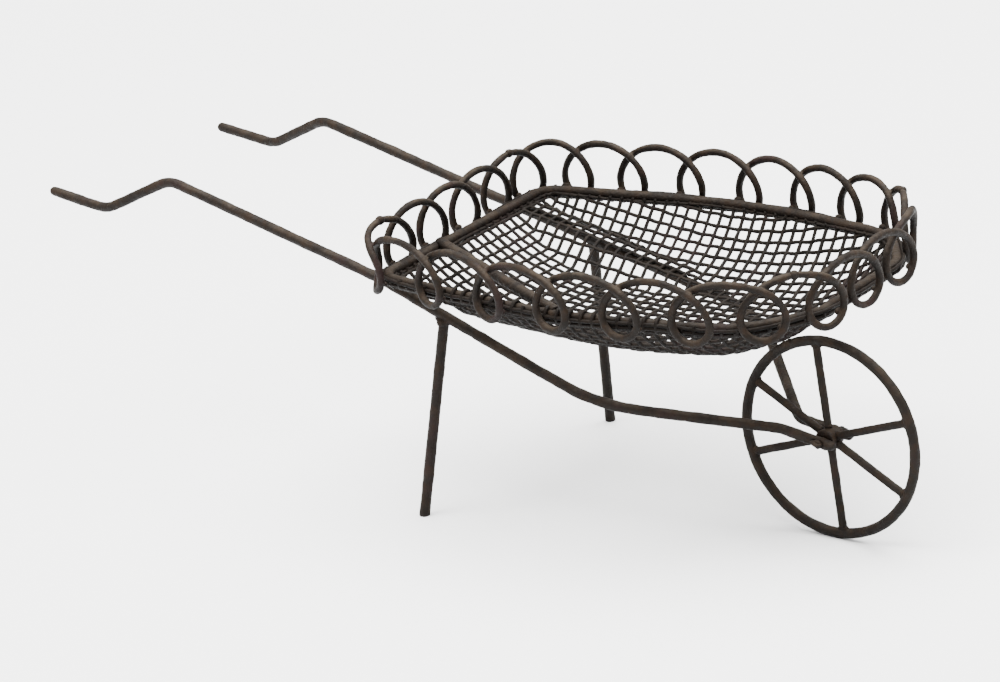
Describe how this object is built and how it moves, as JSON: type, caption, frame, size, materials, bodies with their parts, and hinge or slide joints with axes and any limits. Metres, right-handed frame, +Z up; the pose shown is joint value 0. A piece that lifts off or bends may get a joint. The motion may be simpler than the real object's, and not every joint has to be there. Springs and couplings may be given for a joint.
{
  "type": "wheelbarrow planter",
  "caption": "Small garden wheelbarrow planter of bent iron rod with a wire-cloth basket, a looped wire border and a spoked wheel that turns.",
  "frame": {"origin": "on the ground in the plane of the wheel, midway between the handle tips and the front of the wheel", "axes": "+X forward to the wheel, +Z up, the object's left side towards +Y"},
  "size_m": [0.6184, 0.2478, 0.1838],
  "materials": {
    "iron_rod": "old dark brown paint over rusting iron bar",
    "iron_wire": "old dark brown paint on thick wire",
    "worn_iron": "rubbed, rusty paint at the hub and axle",
    "wire_cloth": "thickly painted square wire cloth"
  },
  "bodies": {
    "frame": {"left_rail": "iron_rod", "right_rail": "iron_rod", "left_leg": "iron_rod", "right_leg": "iron_rod", "axle_pin": "worn_iron", "basket_rim": "iron_rod", "corner_brace": "iron_rod", "mesh_basket": "wire_cloth", "looped_border_back": "iron_wire", "looped_border_right": "iron_wire", "looped_border_front": "iron_wire", "looped_border_left": "iron_wire"},
    "wheel": {"wheel_rim": "iron_rod", "hub": "worn_iron", "spoke_1": "iron_wire", "spoke_2": "iron_wire", "spoke_3": "iron_wire", "spoke_4": "iron_wire", "spoke_5": "iron_wire", "spoke_6": "iron_wire"}
  },
  "joints": [
    {"name": "wheel_spin", "type": "hinge", "parent": "frame", "child": "wheel", "pos_m": [0.24575, 0, 0.0635], "axis": [0, 1, 0], "continuous": true}
  ]
}
